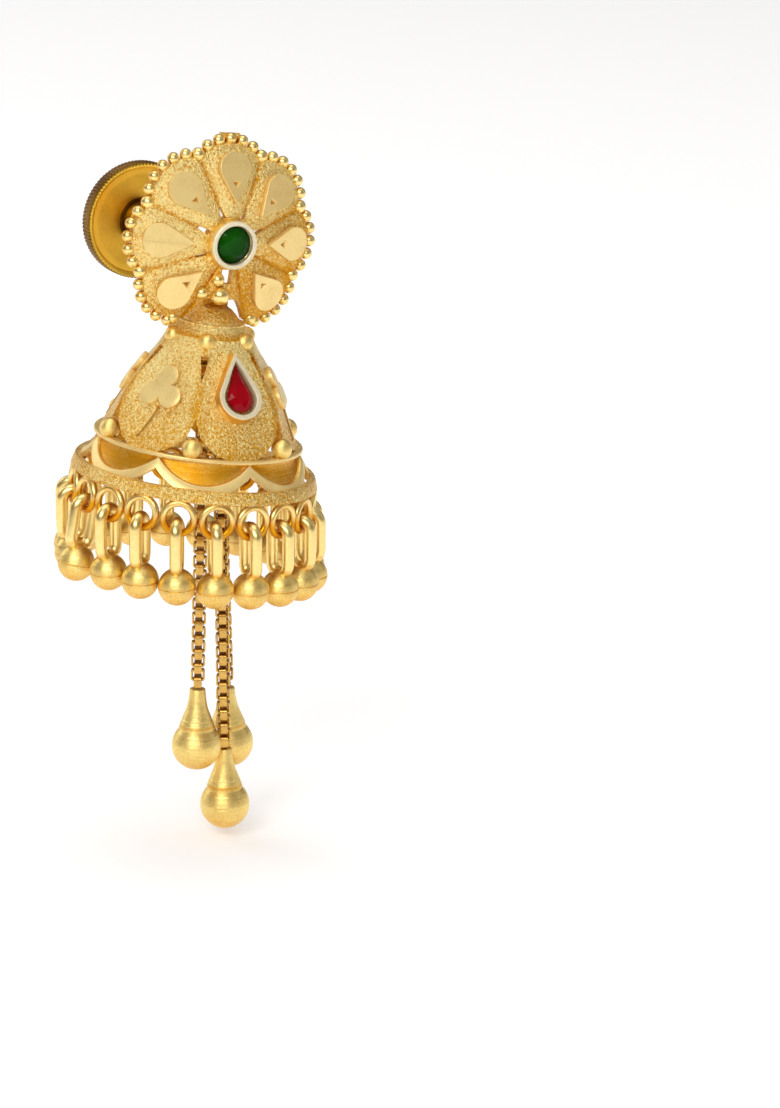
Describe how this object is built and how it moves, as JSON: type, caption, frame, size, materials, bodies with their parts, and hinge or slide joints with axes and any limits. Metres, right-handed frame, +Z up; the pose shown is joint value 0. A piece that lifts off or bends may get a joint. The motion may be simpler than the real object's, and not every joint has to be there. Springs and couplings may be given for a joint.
{
  "type": "jhumka earring",
  "caption": "Gold jhumka earring: a beaded flower stud with a green stone over a pierced bell with red stones, a fringe of ball drops, chain tassels and a screw back.",
  "frame": {"origin": "on the ear post's axis, where the post leaves the back of the flower", "axes": "+Y along the post from the flower through the ear to the screw back, +Z up as worn, +X to the right of someone who looks at the flower's front"},
  "size_m": [0.0184, 0.0219, 0.0462],
  "materials": {
    "matte_gold": "sandblasted 22 carat gold with polished raised ornaments",
    "satin_gold": "satin, turned and polished gold",
    "chain_gold": "polished gold box chain",
    "green_stone": "cut and polished deep green stone",
    "red_stone": "cut and polished crimson stone"
  },
  "bodies": {
    "root": {"flower_top": "matte_gold", "centre_stone": "green_stone", "bell": "matte_gold", "red_stone_1": "red_stone", "red_stone_2": "red_stone", "ball_drop_01": "satin_gold", "ball_drop_02": "satin_gold", "ball_drop_03": "satin_gold", "ball_drop_04": "satin_gold", "ball_drop_05": "satin_gold", "ball_drop_06": "satin_gold", "ball_drop_07": "satin_gold", "ball_drop_08": "satin_gold", "ball_drop_09": "satin_gold", "ball_drop_10": "satin_gold", "ball_drop_11": "satin_gold", "ball_drop_12": "satin_gold", "ball_drop_13": "satin_gold", "ball_drop_14": "satin_gold", "ball_drop_15": "satin_gold", "ball_drop_16": "satin_gold", "ball_drop_17": "satin_gold", "ball_drop_18": "satin_gold", "ball_drop_19": "satin_gold", "ball_drop_20": "satin_gold", "chain_left": "chain_gold", "chain_middle": "chain_gold", "chain_back": "chain_gold", "end_drop_left": "satin_gold", "end_drop_middle": "satin_gold", "end_drop_back": "satin_gold", "ear_post": "satin_gold"},
    "screw_back": {"screw_back": "satin_gold"}
  },
  "joints": [
    {"name": "screw_slide", "type": "slide", "parent": "root", "child": "screw_back", "axis": [0, 1, 0], "range_m": [-0.006, 0.0012]}
  ]
}
